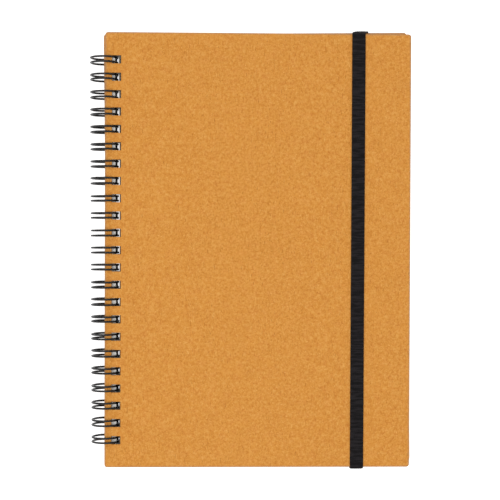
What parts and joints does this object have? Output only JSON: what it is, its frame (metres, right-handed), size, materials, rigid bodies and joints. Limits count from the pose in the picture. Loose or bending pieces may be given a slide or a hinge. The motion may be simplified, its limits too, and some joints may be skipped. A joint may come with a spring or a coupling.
{
  "type": "wire-bound notebook",
  "caption": "Notebook with hard board covers, twin-loop wire binding and an elastic band that holds it shut.",
  "frame": {"origin": "on the table, under the middle of the notebook's box", "axes": "+X from the wire to the fore-edge, +Y up the page along the wire, +Z out of the front cover"},
  "size_m": [0.158, 0.2164, 0.0141],
  "materials": {
    "board": "matt grey board",
    "cover_sheet": "matt fibrous recycled paper",
    "lining": "matt uncoated paper",
    "leaves": "matt uncoated paper",
    "wire": "black nylon-coated steel, satin",
    "elastic": "woven flat elastic, matt"
  },
  "bodies": {
    "back": {"back_board": "board", "back_cover": "cover_sheet", "back_endpaper": "lining", "twin_wire": "wire", "elastic_band": "elastic"},
    "leaves": {"page_block": "leaves"},
    "front": {"front_board": "board", "front_cover": "cover_sheet", "front_endpaper": "lining"}
  },
  "joints": [
    {"name": "leaf_turn", "type": "hinge", "parent": "back", "child": "leaves", "pos_m": [-0.07189, 0, 0.00702], "axis": [0, -1, 0], "range_deg": [0, 180], "deforming": ["elastic_band"]},
    {"name": "front_cover_turn", "type": "hinge", "parent": "leaves", "child": "front", "pos_m": [-0.07189, 0, 0.00702], "axis": [0, -1, 0], "range_deg": [0, 180], "deforming": ["elastic_band"]}
  ]
}
